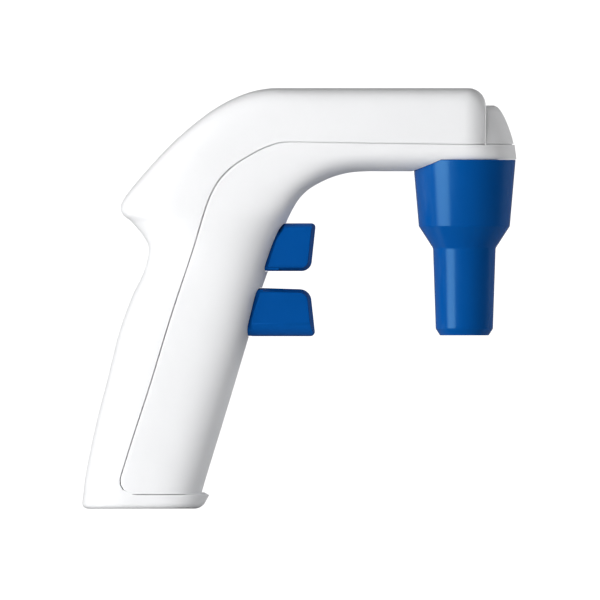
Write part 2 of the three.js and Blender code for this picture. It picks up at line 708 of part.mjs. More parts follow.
function makeDiaphragm() {
  const low = FRAME.low - 2 + GAP;
  const high = FRAME.low - GAP;
  const top = FRAME.floor - 0.5;
  return turned([[0, low], [8.2, low], [8.2, high], [4.2, high], [3.6, high - 0.7], [2.4, high - 0.7],
    [2.0, top], [0, top]], CRANK.x, 20);
}

function makePumpScrew(side) {
  const y = side * PUMP_SCREW.y;
  return screw([PUMP_SCREW.x, y, 112 - GAP], [PUMP_SCREW.x, y, FRAME.floor - 0.4], 0.8, 1.6, 1.1);
}

function makeMotorCan() {
  const { z, radius, back, front } = MOTOR;
  return cut(
    turnedAlongX([[0, back], [2.9, back], [2.9, back + 0.6], [radius - 0.6, back + 0.6], [radius, back + 1.2],
      [radius, front - 1], [radius - 1, front], [0, front]], z, 28),
    rod([back - 1, 0, z], [0, 0, z], 1.4, 10),
  );
}

function makeMotorDamper() {
  return block([1, -4, ARM.bottom + WALL + GAP], [12, 4, MOTOR.z - MOTOR.radius - GAP]);
}

function makeMotorShaft() {
  const { x, throw: offset, radius, halfLength } = CRANK;
  return join(
    rod([FRAME.back + 0.3, 0, MOTOR.z], [-1, 0, MOTOR.z], 1.0, 10),
    rod([x - halfLength, 0, MOTOR.z - offset], [x + halfLength, 0, MOTOR.z - offset], radius, 24),
  );
}

function makeShaftBush() {
  return cut(
    rod([FRAME.back, 0, MOTOR.z], [FRAME.back + 2, 0, MOTOR.z], 2.8, 16),
    rod([FRAME.back - 1, 0, MOTOR.z], [FRAME.back + 3, 0, MOTOR.z], 1.3, 12),
  );
}

function makeConRod() {
  const { x, throw: offset, radius, halfLength } = CRANK;
  const centre = MOTOR.z - offset;
  const side = halfLength - 0.2;
  const eye = rod([x - side, 0, centre], [x + side, 0, centre], radius + 1.8, 24);
  const shank = block([x - side, -1.5, FRAME.floor - 0.1], [x + side, 1.5, centre - radius]);
  return cut(join(eye, shank), rod([x - 5, 0, centre], [x + 5, 0, centre], radius + GAP, 24));
}

// ---- Battery, charging socket and wires ----
function makeCell(nubUp) {
  const { radius, low, high, nub, nubRadius } = CELL;
  const can = nubUp ? [low, high - nub] : [low + nub, high];
  const centre = nubUp ? CELL.spacing : -CELL.spacing;
  const profile = [[0, can[0]], [radius - 0.5, can[0]], [radius, can[0] + 0.5], [radius, can[1] - 0.5],
    [radius - 0.5, can[1]], [0, can[1]]];
  const end = nubUp ? [high - nub - 0.1, high] : [low, low + nub + 0.1];
  return join(turned(profile, centre, 20), rod([centre, 0, end[0]], [centre, 0, end[1]], nubRadius, 12));
}

function makeCradle() {
  const { halfDepth, low, high, back, front } = CRADLE;
  const bays = [-1, 1].map((side) => {
    const x = side * CELL.spacing;
    return rod([x, 0, CELL.low - 1], [x, 0, CELL.high + 1], CELL.radius + 0.35, 24);
  });
  const linkSlot = block([-13.3, -5.3, CELL.low - 1], [13.3, 0, CELL.low]);
  return cut(block([-halfDepth, back, low], [halfDepth, front, high]), linkSlot, ...bays);
}

function makeContact(x0, x1, z) {
  return block([x0, -5, z], [x1, 5, z + 0.4]);
}

function makeChargeSocket() {
  const mouth = 0.6;
  const body = join(
    rod([SOCKET_X, 0, mouth], [SOCKET_X, 0, 4], 4.0, 16),
    block([SOCKET_X - 4.6, -4.6, 3.2], [SOCKET_X + 4.6, 4.6, 11.6]),
  );
  return join(
    cut(body, rod([SOCKET_X, 0, -1], [SOCKET_X, 0, 9], 3.1, 16)),
    rod([SOCKET_X, 0, 1.6], [SOCKET_X, 0, 9.5], 0.65, 8),
  );
}

const WIRES = {
  battery_lead_positive: [[-35.2, 4, 62.6], [-38.5, 5.5, 63.9], [-44.5, 6, 66.2], [-47.6, 6, 70],
    [-48.2, 6, 73]],
  battery_lead_negative: [[-50.2, 3.2, 66.3], [-48.9, 0.5, 67.6], [-47.6, -4.6, 69], [-47.9, -5.4, 72]],
  motor_lead_positive: [[-47.9, -5.8, 101], [-45, -8, 108], [-37, -12, 118], [-22, -13.6, 130],
    [0, -13.6, 136], [15, -13.2, 138.5], [20.5, -12.4, 138.5], [22, -9, 138.5], [18.3, -7, 138.5]],
  motor_lead_negative: [[-47.9, -3.2, 102.4], [-45.5, -5, 111], [-37, -10, 122], [-24, -12.6, 134.5],
    [0, -13, 140.5], [15, -12.9, 142.5], [20.5, -11.4, 142.5], [22, -7, 142.5], [18.3, -4.5, 142.5]],
  charge_lead: [[-69.6, 0, 12.3], [-72.2, 0, 12.9], [-73.8, 0, 15.2], [-74.1, 0, 19.5], [-72.6, 0, 28],
    [-68.2, 0, 45], [-62.6, 0, 64], [-56.5, 0, 71.5], [-51.4, 0, 73]],
};

const HOSES = {
  suction_hose: [[-28.4, -5.5, 117], [-33, -5.5, 116.8], [-37, -5.5, 114], [-38, -5.5, 110],
    [-38, -5.5, 105.4]],
  pressure_hose: [[-28.4, 5.5, 117], [-33, 5.5, 116.8], [-37, 5.5, 114], [-38, 5.5, 110],
    [-38, 5.5, 105.4]],
  cone_hose: [[-34, 12.2, 100.4], [-34, 12.2, 108], [-31.5, 12.9, 117], [-24, 13.5, 127], [-10, 13.6, 134.5],
    [10, 13.6, 138], [35, 12.3, 141], [50, 8, 145], [57.5, 2.6, 148], [60.8, 0.3, 145], [61, 0, 136.4]],
};

// ---- Assembly ----
const controller = new THREE.Group();

function place(name, solid, finish, parent = controller) {
  const mesh = new THREE.Mesh(toGeometry(solid), finish);
  mesh.name = name;
  parent.add(mesh);
}

place('rear_housing', makeRearHousing(), WHITE);
place('front_housing', makeFrontHousing(), WHITE);
place('nose_cap', makeNoseCap(), WHITE);

place('nose_cone', makeNoseCone(), BLUE);
place('pipette_adapter', makePipetteAdapter(), SILICONE);
place('membrane_filter', makeMembraneFilter(), NATURAL);
place('cone_receptacle', makeConeReceptacle(), GREY);
place('receptacle_o_ring', makeReceptacleRing(), BLACK_RUBBER);

for (const [label, button, upper] of [['aspirate', ASPIRATE, true], ['dispense', DISPENSE, false]]) {
  place(`${label}_button`, makeButton(button, upper), BUTTON_BLUE);
  place(`${label}_stem`, makeStem(button), STEEL);
  place(`${label}_spring`, makeSpring(button), STEEL);
  place(`${label}_stem_seal`, makeStemSeal(button), BLACK_RUBBER);
  place(`${label}_switch`, makeSwitch(button), BLACK_RUBBER);
}

for (const [number, side] of [[1, -1], [2, 1]]) {
  place(`seat_screw_${number}`, makeSeatScrew(side), STEEL);
  place(`block_screw_${number}`, makeBlockScrew(side), STEEL);
  place(`board_screw_${number}`, makeBoardScrew(side), STEEL);
  place(`pump_screw_${number}`, makePumpScrew(side), STEEL);
}

place('valve_block', makeValveBlock(), NATURAL);
place('circuit_board', makeCircuitBoard(), BOARD_GREEN);
place('pump_frame', makePumpFrame(), GREY);
place('pump_head', makePumpHead(), GREY);
place('pump_diaphragm', makeDiaphragm(), BLACK_RUBBER);
place('motor_can', makeMotorCan(), STEEL);
place('motor_shaft', makeMotorShaft(), STEEL);
place('shaft_bush', makeShaftBush(), BRASS);
place('con_rod', makeConRod(), NATURAL);
place('motor_damper', makeMotorDamper(), BLACK_RUBBER);
place('charge_socket', makeChargeSocket(), BLACK_RUBBER);

const gripGroup = new THREE.Group();
gripGroup.position.set(...GRIP_ORIGIN);
gripGroup.rotation.y = GRIP_TILT;
controller.add(gripGroup);
place('battery_cell_front', makeCell(true), CELL_GREEN, gripGroup);
place('battery_cell_rear', makeCell(false), CELL_GREEN, gripGroup);
place('battery_cradle', makeCradle(), GREY, gripGroup);
place('battery_link', makeContact(-13, 13, CELL.low - 0.7), BRASS, gripGroup);
place('battery_contact_front', makeContact(2.5, 13, CELL.high + 0.3), BRASS, gripGroup);
place('battery_contact_rear', makeContact(-13, -2.5, CELL.high + 0.3), BRASS, gripGroup);

for (const [name, points] of Object.entries(HOSES)) {
  const steps = 2 * points.length;
  place(name, tube(route(points), HOSE.outer, HOSE.inner, 8, steps), SILICONE);
}
for (const [name, points] of Object.entries(WIRES)) {
  const finish = name.endsWith('positive') ? RED : BLACK_RUBBER;
  place(name, tube(route(points), 0.6, 0, 5, 2 * points.length), finish);
}

export default controller;
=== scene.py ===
"""Motorized pipette controller: smooth shells, cone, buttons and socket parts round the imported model.

Lengths are written in millimetres, as on a drawing, and mm() turns points into Blender's metres.
The frame is the CAD model's: +Z up, +X towards the nose, Y = 0 the mid-plane, the foot on Z = 0.
"""

import json
import math

import bmesh
import bpy
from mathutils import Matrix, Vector

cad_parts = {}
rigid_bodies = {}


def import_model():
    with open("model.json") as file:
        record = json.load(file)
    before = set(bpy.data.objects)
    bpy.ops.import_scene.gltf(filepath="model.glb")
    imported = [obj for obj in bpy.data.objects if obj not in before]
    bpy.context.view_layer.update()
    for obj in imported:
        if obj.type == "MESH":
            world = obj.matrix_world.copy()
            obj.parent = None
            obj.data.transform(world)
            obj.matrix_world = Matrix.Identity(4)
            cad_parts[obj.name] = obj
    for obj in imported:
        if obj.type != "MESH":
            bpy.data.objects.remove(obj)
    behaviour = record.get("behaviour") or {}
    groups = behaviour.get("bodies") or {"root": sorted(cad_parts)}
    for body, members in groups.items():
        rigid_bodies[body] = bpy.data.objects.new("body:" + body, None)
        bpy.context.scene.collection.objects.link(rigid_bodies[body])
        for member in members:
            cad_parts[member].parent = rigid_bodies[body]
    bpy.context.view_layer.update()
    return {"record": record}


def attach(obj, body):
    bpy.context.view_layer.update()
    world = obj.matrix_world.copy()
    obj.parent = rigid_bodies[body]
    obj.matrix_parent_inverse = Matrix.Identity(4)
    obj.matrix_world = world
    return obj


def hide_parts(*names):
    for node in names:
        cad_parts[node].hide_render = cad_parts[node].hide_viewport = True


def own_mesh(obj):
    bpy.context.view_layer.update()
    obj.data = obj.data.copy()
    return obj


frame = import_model()

MM = 0.001
WALL = 2.2
GAP = 0.3
SEAM_GAP = 0.42
HAIRLINE = 0.08
EDGE_ROUNDING = 0.45

# The arm's section, and the cone's axis under its nose
ARM_TOP = 155.6
ARM_BOTTOM = 124.8
ARM_MIDDLE = (ARM_TOP + ARM_BOTTOM) / 2
ARM_HALF = 19.5
CONE_X = 61.0
CONE_SEAT = 129.2
RECESS_RADIUS = 19.4
RIM_BACK = CONE_X - 4
SEAT_SCREW_Y = 14.9
SOCKET_X = -66.0

# The end of the rear shell's arm, the seam's height there, and the cap in front of it
ARM_END = 68.9
ARM_END_TOP_RADIUS = 6.4
ARM_END_SIDE_RADIUS = 12.0
NOSE_SEAM = 134.75
CAP = {"top": 149.2, "inset": 1.9, "edge": 2.6}

# The foot: its back and front at the floor, their lean per unit of height, and the proud front lip
FOOT_TOP = 5.2
FOOT = {
    "back": -80.6, "back_lean": 0.123,
    "front": -37.83, "front_lean": 0.287,
    "half": 17.25, "square": 3.0,
}
LIP = {"width": 1.7, "lean": 0.26}

# The buttons: height range, where the skirt and its pocket end, the radii of the lower and the upper
# corners as seen from the front, and the pad's corners in X and Z with their radii
BUTTON_HALF = 10.0
SKIRT_HALF = 9.2
POCKET_RADIUS = 6.2
BUTTONS = {
    "aspirate": {
        "low": 87.9, "high": 105.6, "skirt": -17.5, "pocket": -9.5, "radii": (2.5, 3.0),
        "pad": [
            (-13.7, 87.9, 1.5), (4.2, 87.9, 3.8), (6.1, 105.6, 1.5), (-6.0, 105.6, 1.5), (-9.8, 100.2, 9),
        ],
    },
    "dispense": {
        "low": 63.8, "high": 81.7, "skirt": -23.5, "pocket": -13.0, "radii": (5.0, 2.5),
        "pad": [
            (-18.6, 63.8, 1.5), (5.9, 63.8, 1.7), (4.0, 81.1, 4.4), (-15.5, 81.7, 1.5), (-19.4, 69.3, 8),
        ],
    },
}
BLOCK_FRONT = -31.0

# How finely the shells are drawn
STEPS_PER_STATION = 6
HALF_COLUMNS = 40
NOSE_STEPS = 28

# Matching points on the back or top edge and on the front or underside edge, half the width, how
# box-like the section is (2 is an ellipse), and how much of its depth the underside loses sideways
STATIONS = [
    ((-80.18, 3.4), (-36.85, 3.4), 17.25, 3.0, 0),
    ((-79.0, 13.0), (-34.1, 13.0), 17.4, 3.0, 0),
    ((-75.4, 30.8), (-28.7, 30.5), 17.6, 3.0, 0),
    ((-71.0, 48.0), (-23.4, 48.0), 17.8, 3.0, 0),
    ((-66.9, 64.5), (-18.5, 64.5), 17.9, 3.0, 0),
    ((-62.2, 77.8), (-14.9, 78.4), 18.0, 2.9, 0),
    ((-57.6, 87.6), (-12.0, 86.8), 18.2, 2.7, 0),
    ((-55.7, 96.0), (-9.6, 93.5), 18.5, 2.6, 0),
    ((-57.9, 101.0), (-7.7, 98.6), 18.8, 2.6, 0),
    ((-62.0, 106.0), (-6.0, 102.9), 19.1, 2.8, 0),
    ((-65.5, 109.0), (-4.9, 105.8), 19.3, 3.1, 0),
    ((-65.8, 112.9), (-4.1, 107.6), 19.4, 3.5, 0),
    ((-61.4, 119.4), (-2.6, 110.6), 19.5, 4.2, 0),
    ((-52.0, 130.1), (-0.1, 114.6), 19.5, 5.0, 0.03),
    ((-43.5, 138.5), (3.3, 118.0), 19.5, 5.6, 0.06),
    ((-32.5, 147.2), (7.6, 120.6), 19.5, 6, 0.1),
    ((-22.0, 152.8), (12.6, 122.8), 19.5, 6, 0.14),
    ((-12.0, 155.4), (18.5, 124.3), 19.5, 6, 0.18),
    ((0.0, ARM_TOP), (25.0, ARM_BOTTOM), 19.5, 6, 0.22),
    ((20.0, ARM_TOP), (32.0, ARM_BOTTOM), 19.5, 6, 0.25),
    ((42.0, ARM_TOP), (45.0, ARM_BOTTOM), 19.5, 6, 0.25),
    ((CONE_X, ARM_TOP), (CONE_X, ARM_BOTTOM), 19.5, 6, 0.25),
]
ARM_START = 18

# The joint line between the shells, from the nose down the grip to the round corner at the foot
SEAM = [
    (95.0, 134.7), (62.0, 134.8), (30.0, 135.2), (8.0, 135.55), (-5.4, 135.6), (-11.8, 134.0),
    (-17.6, 131.2), (-26.5, 125.1), (-33.1, 115.6), (-39.8, 94.6), (-47.5, 71.3), (-55.3, 45.8),
    (-61.8, 25.8), (-66.1, 12.0),
]
SEAM_CORNER = (-61.3, 10.4)
SEAM_RADIUS = 5.2

# How far the front shell's rim and the cap above it reach at each height
RIM_REACH = [(124.8, 76.5), (127, 79.4), (129, 80.3), (130.4, 80.2), (134.7, 79.6)]
CAP_REACH = [
    (134.9, 79.3), (137, 78.8), (139.2, 78.1), (142, 77.1), (144.6, 76.0), (147.2, 74.5),
    (148.5, 73.4), (149.2, 72.0),
]


# ---- Curves ----
def spline(values, position):
    """Catmull-Rom through evenly spaced values, read at a fractional index."""
    last = len(values) - 1
    i = min(int(position), last - 1)
    t = position - i
    p0, p1 = values[max(i - 1, 0)], values[i]
    p2, p3 = values[i + 1], values[min(i + 2, last)]
    linear = p2 - p0
    square = 2 * p0 - 5 * p1 + 4 * p2 - p3
    cube = 3 * p1 - p0 - 3 * p2 + p3
    return 0.5 * (2 * p1 + linear * t + square * t * t + cube * t * t * t)


def read_table(table, at):
    """Straight-line reading of a table of (position, value) rows, held at its ends."""
    if at <= table[0][0]:
        return table[0][1]
    for (x0, v0), (x1, v1) in zip(table, table[1:]):
        if at <= x1:
            return v0 + (v1 - v0) * (at - x0) / (x1 - x0)
    return table[-1][1]


def drop_of_arc(radius, along):
    """How far a quarter circle has fallen after going along towards its end."""
    return radius - math.sqrt(max(radius**2 - max(along, 0) ** 2, 0))


def seam_points():
    """The seam as a fine polyline: splined points, then the round corner above the foot."""
    fine = 12
    xs = [point[0] for point in SEAM]
    zs = [point[1] for point in SEAM]
    positions = [i / fine for i in range((len(SEAM) - 1) * fine + 1)]
    points = [(spline(xs, p), spline(zs, p)) for p in positions]
    for i in range(17):
        angle = math.pi + (math.pi / 2) * i / 16
        x = SEAM_CORNER[0] + SEAM_RADIUS * math.cos(angle)
        points.append((x, SEAM_CORNER[1] + SEAM_RADIUS * math.sin(angle)))
    return points


SEAM_LINE = seam_points()


class Section:
    """A squared-off ellipse between a back point and a front point. Angle 0 is the back."""

    def __init__(self, back, front, half, square, crown=0.0):
        self.middle = ((back[0] + front[0]) / 2, (back[1] + front[1]) / 2)
        self.to_back = ((back[0] - front[0]) / 2, (back[1] - front[1]) / 2)
        self.half = half
        self.square = square
        self.crown = crown

    def place(self, angle):
        """(how far towards the back, -1 to 1, and how far sideways, -1 to 1)."""
        cosine, sine = math.cos(angle), math.sin(angle)
        stretch = (abs(cosine) ** self.square + abs(sine) ** self.square) ** (-1 / self.square)
        side = sine * stretch
        share = cosine * stretch
        if share < 0:
            share *= 1 - self.crown * side * side
        return share, side

    def point(self, angle):
        share, side = self.place(angle)
        x = self.middle[0] + self.to_back[0] * share
        z = self.middle[1] + self.to_back[1] * share
        return (x, self.half * side, z)

    def seam_share(self):
        """Where the seam crosses the line from the front point to the back point."""
        mx, mz = self.middle
        bx, bz = self.to_back
        found = []
        for (x0, z0), (x1, z1) in zip(SEAM_LINE, SEAM_LINE[1:]):
            dx, dz = x1 - x0, z1 - z0
            cross = bx * dz - bz * dx
            if abs(cross) < 1e-9:
                continue
            share = ((x0 - mx) * dz - (z0 - mz) * dx) / cross
            along = ((x0 - mx) * bz - (z0 - mz) * bx) / cross
            if abs(share) < 1.2 and -1e-3 <= along <= 1.001:
                found.append(share)
        return min(found, key=abs)

    def angle_at(self, share):
        """The angle at which the section has come this far from the front to the back."""
        low, high = 0.0, math.pi
        for _ in range(50):
            angle = (low + high) / 2
            if self.place(angle)[0] > share:
                low = angle
            else:
                high = angle
        return low

    def seam_angle(self, side):
        """The angle of a shell's edge at the seam: side is 1 for the rear shell, -1 for the front."""
        return self.angle_at(self.seam_share() + side * SEAM_GAP / 2 / math.hypot(*self.to_back))


def body_section(position, inset=0.0):
    """The shells' section at a fractional station number, moved inwards by inset."""
    def read(pick):
        return spline([pick(station) for station in STATIONS], position)

    back = Vector((read(lambda s: s[0][0]), min(read(lambda s: s[0][1]), ARM_TOP - 0.001)))
    front = Vector((read(lambda s: s[1][0]), read(lambda s: s[1][1])))
    step = (back - front).normalized() * inset
    half = min(read(lambda s: s[2]), ARM_HALF) - inset
    return Section(back - step, front + step, half, read(lambda s: s[3]), read(lambda s: s[4]))


def position_at_height(z):
    """The fractional station number between the foot's first two stations at this height."""
    low, high = 0.0, 1.0
    for _ in range(50):
        middle = (low + high) / 2
        if body_section(middle).middle[1] < z:
            low = middle
        else:
            high = middle
    return low


# ---- Meshes ----
def mm(point):
    return Vector(point) * MM


def face_outwards(bm):
    """Gives open and closed meshes one winding, with the outermost face looking out."""
    bmesh.ops.recalc_face_normals(bm, faces=bm.faces)
    centre = sum((v.co for v in bm.verts), Vector()) / len(bm.verts)
    far = max(bm.faces, key=lambda face: (face.calc_center_median() - centre).length)
    if far.normal.dot(far.calc_center_median() - centre) < 0:
        bmesh.ops.reverse_faces(bm, faces=bm.faces)


def new_object(name, bm):
    face_outwards(bm)
    mesh = bpy.data.meshes.new(name)
    bm.to_mesh(mesh)
    bm.free()
    obj = bpy.data.objects.new(name, mesh)
    bpy.context.scene.collection.objects.link(obj)
    return obj


def rows_of_points(bm, rows, closed=False):
    """Vertices for rows of points, with quads between the rows."""
    made = [[bm.verts.new(mm(point)) for point in row] for row in rows]
    join_rows(bm, made, closed)
    return made


def join_rows(bm, rows, closed=False):
    for row, above in zip(rows, rows[1:]):
        count = len(row)
        for i in range(count if closed else count - 1):
            j = (i + 1) % count
            bm.faces.new((row[i], row[j], above[j], above[i]))


def loft(name, rows):
    """A closed solid through rings of points, with a flat face on each end."""
    bm = bmesh.new()
    made = rows_of_points(bm, rows, closed=True)
    bm.faces.new(made[0])
    bm.faces.new(made[-1])
    bmesh.ops.remove_doubles(bm, verts=bm.verts, dist=1e-7)
    bmesh.ops.dissolve_degenerate(bm, edges=bm.edges, dist=1e-7)
    return new_object(name, bm)


def full_turn(count):
    return [2 * math.pi * i / count for i in range(count)]


def circle(radius, segments=96):
    return [(radius * math.cos(a), radius * math.sin(a)) for a in full_turn(segments)]


def upright_rod(name, x, y, low, high, radius, segments=96):
    rows = [[(x + u, y + v, z) for u, v in circle(radius, segments)] for z in (low, high)]
    return loft(name, rows)


def rod_along_x(name, start, end, z, radius, segments=48):
    rows = [[(x, u, z + v) for u, v in circle(radius, segments)] for x in (start, end)]
    return loft(name, rows)


def block(name, low, high):
    (x0, y0, z0), (x1, y1, z1) = low, high
    return loft(name, [[(x0, y0, z), (x1, y0, z), (x1, y1, z), (x0, y1, z)] for z in (z0, z1)])


def lathe(name, profile, x=CONE_X, y=0.0, segments=112):
    """Turns a closed profile of (radius, height) about an upright line. Radius 0 closes on the axis."""
    bm = bmesh.new()
    turned = []
    for u, v in circle(1.0, segments):
        turned.append([bm.verts.new(mm((x + r * u, y + r * v, z))) for r, z in profile])
    for row, after in zip(turned, turned[1:] + turned[:1]):
        for i in range(len(profile)):
            j = (i + 1) % len(profile)
            bm.faces.new((row[i], row[j], after[j], after[i]))
    bmesh.ops.remove_doubles(bm, verts=bm.verts, dist=1e-7)
    bmesh.ops.dissolve_degenerate(bm, edges=bm.edges, dist=1e-7)
    return new_object(name, bm)


def rounded(corners, inset=0.0, steps=6):
    """A closed outline from (u, v, radius) corners, moved inwards by inset, its corners as arcs."""
    count = len(corners)
    points = [Vector(corner[:2]) for corner in corners]
    area = sum(points[i - 1].cross(points[i]) for i in range(count))
    turn = 1 if area > 0 else -1
    outline = []
    for i in range(count):
        here = points[i]
        to_before = (points[i - 1] - here).normalized()
        to_after = (points[(i + 1) % count] - here).normalized()
        half_angle = to_before.angle(to_after) / 2
        convex = turn * to_after.cross(to_before) > 0
        inward = (to_before + to_after).normalized() * (1 if convex else -1)
        moved = here + inward * inset / math.sin(half_angle)
        if corners[i][2] <= 0:
            outline.append(tuple(moved))
            continue
        radius = max(corners[i][2] + (-inset if convex else inset), 0.05)
        reach = radius / math.tan(half_angle)
        centre = moved + (to_before + to_after).normalized() * radius / math.sin(half_angle)
        start = moved + to_before * reach - centre
        end = moved + to_after * reach - centre
        sweep = start.angle_signed(end)
        first = math.atan2(start.y, start.x)
        for step in range(steps + 1):
            angle = first - sweep * step / steps
            outline.append((centre.x + radius * math.cos(angle), centre.y + radius * math.sin(angle)))
    return outline


def apply_modifiers(obj):
    bpy.context.view_layer.update()
    graph = bpy.context.evaluated_depsgraph_get()
    mesh = bpy.data.meshes.new_from_object(obj.evaluated_get(graph))
    old = obj.data
    obj.modifiers.clear()
    obj.data = mesh
    bpy.data.meshes.remove(old)
    return obj


def smooth(obj, degrees=35):
    """Smooth shading that breaks at edges sharper than this."""
    bm = bmesh.new()
    bm.from_mesh(obj.data)
    limit = math.radians(degrees)
    for edge in bm.edges:
        edge.smooth = len(edge.link_faces) == 2 and edge.calc_face_angle(0) < limit
    for face in bm.faces:
        face.smooth = True
    bm.to_mesh(obj.data)
    bm.free()
    return obj


def thicken(obj, wall):
    solid = obj.modifiers.new("wall", "SOLIDIFY")
    solid.thickness = wall * MM
    solid.offset = -1
    solid.use_quality_normals = True
    return apply_modifiers(obj)


def round_edges(obj, width, segments=3, degrees=40):
    bevel = obj.modifiers.new("edges", "BEVEL")
    bevel.width = width * MM
    bevel.segments = segments
    bevel.limit_method = "ANGLE"
    bevel.angle_limit = math.radians(degrees)
    return apply_modifiers(obj)


def combine(obj, operation, *tools):
    """Booleans obj with each tool in turn, and removes the tools."""
    for tool in tools:
        step = obj.modifiers.new("cut", "BOOLEAN")
        step.operation = operation
        step.solver = "EXACT"
        step.object = tool
        apply_modifiers(obj)
        bpy.data.objects.remove(tool)
    return obj


# ---- Materials ----
class Paint:
    """A Principled material, with the few node set-ups that the parts share."""

    def __init__(self, name, color, roughness, **inputs):
        self.material = bpy.data.materials.new(name)
        self.material.use_nodes = True
        self.nodes = self.material.node_tree.nodes
        self.links = self.material.node_tree.links
        self.shader = self.nodes["Principled BSDF"]
        self.shader.inputs["Base Color"].default_value = (*color, 1)
        self.shader.inputs["Roughness"].default_value = roughness
        for label, value in inputs.items():
            self.shader.inputs[label.replace("_", " ")].default_value = value
        self.place = self.nodes.new("ShaderNodeTexCoord").outputs["Object"]

    def noise(self, scale, detail=3.0, stretch=None):
        node = self.nodes.new("ShaderNodeTexNoise")
        node.inputs["Scale"].default_value = scale
        node.inputs["Detail"].default_value = detail
        source = self.place
        if stretch:
            mapping = self.nodes.new("ShaderNodeMapping")
            mapping.inputs["Scale"].default_value = stretch
            self.links.new(self.place, mapping.inputs["Vector"])
            source = mapping.outputs["Vector"]
        self.links.new(source, node.inputs["Vector"])
        return node.outputs["Fac"]

    def spread(self, source, low, high):
        """Maps the middle of a noise's range to low and high."""
        node = self.nodes.new("ShaderNodeMapRange")
        node.inputs["From Min"].default_value = 0.3
        node.inputs["From Max"].default_value = 0.7
        node.inputs["To Min"].default_value = low
        node.inputs["To Max"].default_value = high
        self.links.new(source, node.inputs["Value"])
        return node.outputs["Result"]

    def vary_roughness(self, scale, low, high, stretch=None):
        source = self.noise(scale, stretch=stretch)
        self.links.new(self.spread(source, low, high), self.shader.inputs["Roughness"])
        return self

    def vary_color(self, scale, first, second, stretch=None):
        ramp = self.nodes.new("ShaderNodeValToRGB")
        ramp.color_ramp.elements[0].position = 0.3
        ramp.color_ramp.elements[0].color = (*first, 1)
        ramp.color_ramp.elements[1].position = 0.7
        ramp.color_ramp.elements[1].color = (*second, 1)
        self.links.new(self.noise(scale, stretch=stretch), ramp.inputs["Fac"])
        self.links.new(ramp.outputs["Color"], self.shader.inputs["Base Color"])
        return self

    def grain(self, scale, depth, strength, stretch=None):
        bump = self.nodes.new("ShaderNodeBump")
        bump.inputs["Strength"].default_value = strength
        bump.inputs["Distance"].default_value = depth * MM
        self.links.new(self.noise(scale, 2.0, stretch), bump.inputs["Height"])
        self.links.new(bump.outputs["Normal"], self.shader.inputs["Normal"])
        return self


def tinted(color, factor):
    return tuple(min(channel * factor, 1) for channel in color)


def moulded(name, color, roughness, grain=1700, strength=0.14, variation=0.05, **inputs):
    """Moulded plastic or rubber: faint clouding, uneven gloss and a fine spark-eroded grain."""
    paint = Paint(name, color, roughness, **inputs)
    paint.vary_color(35, tinted(color, 1 - variation), tinted(color, 1 + variation))
    paint.vary_roughness(70, roughness * 0.88, min(roughness * 1.15, 1))
    return paint.grain(grain, 0.02, strength).material


def metal(name, color, roughness, stretch):
    """Turned or drawn metal: fine scratches along the stretch that has the smallest factor."""
    paint = Paint(name, color, roughness, Metallic=1.0)
    paint.vary_roughness(500, roughness * 0.7, roughness * 1.35, stretch)
    paint.vary_color(220, tinted(color, 0.92), tinted(color, 1.05), stretch)
    return paint.grain(1500, 0.008, 0.12, stretch).material


MATERIALS = {
    "housing_white": moulded(
        "housing_white", (0.885, 0.89, 0.9), 0.38, grain=1900, strength=0.1, variation=0.012,
    ),
    "cone_blue": moulded(
        "cone_blue", (0.0004, 0.076, 0.32), 0.22, grain=2400, strength=0.06, variation=0.03,
        Specular_IOR_Level=0.6, Specular_Tint=(0.35, 0.8, 1, 1),
    ),
    "button_blue": moulded(
        "button_blue", (0.0004, 0.072, 0.31), 0.46, grain=2600, strength=0.16, variation=0.04,
        Specular_IOR_Level=0.2, Specular_Tint=(0.3, 0.7, 1, 1),
    ),
    "silicone": moulded(
        "silicone", (0.78, 0.8, 0.8), 0.42, grain=900, strength=0.15,
        Subsurface_Weight=0.3, Subsurface_Scale=0.002,
    ),
    "black_rubber": moulded("black_rubber", (0.022, 0.022, 0.025), 0.7, grain=1200, strength=0.25),
    "natural_plastic": moulded("natural_plastic", (0.8, 0.77, 0.67), 0.42),
    "grey_plastic": moulded("grey_plastic", (0.3, 0.32, 0.34), 0.5),
    "steel": metal("steel", (0.62, 0.63, 0.65), 0.3, (1, 1, 0.2)),
    "brass": metal("brass", (0.75, 0.55, 0.24), 0.3, (0.2, 1, 1)),
    "board_green": moulded("board_green", (0.02, 0.17, 0.07), 0.35, grain=400),
    "cell_wrap": moulded("cell_wrap", (0.08, 0.36, 0.15), 0.3, grain=500),
    "wire_red": moulded("wire_red", (0.5, 0.02, 0.02), 0.45),
}


def finish(obj, body, slot, *nodes):
    """Gives a piece the material of its slot and its body, and hides the CAD nodes that it stands for."""
    obj.data.materials.clear()
    obj.data.materials.append(MATERIALS[slot])
    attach(obj, body)
    if nodes:
        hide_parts(*nodes)
    return obj


# ---- Rear shell and foot ----
def ring_positions(start):
    last = (len(STATIONS) - 1) * STEPS_PER_STATION
    first = math.ceil(start * STEPS_PER_STATION + 0.3)
    return [start] + [i / STEPS_PER_STATION for i in range(first, last + 1)]


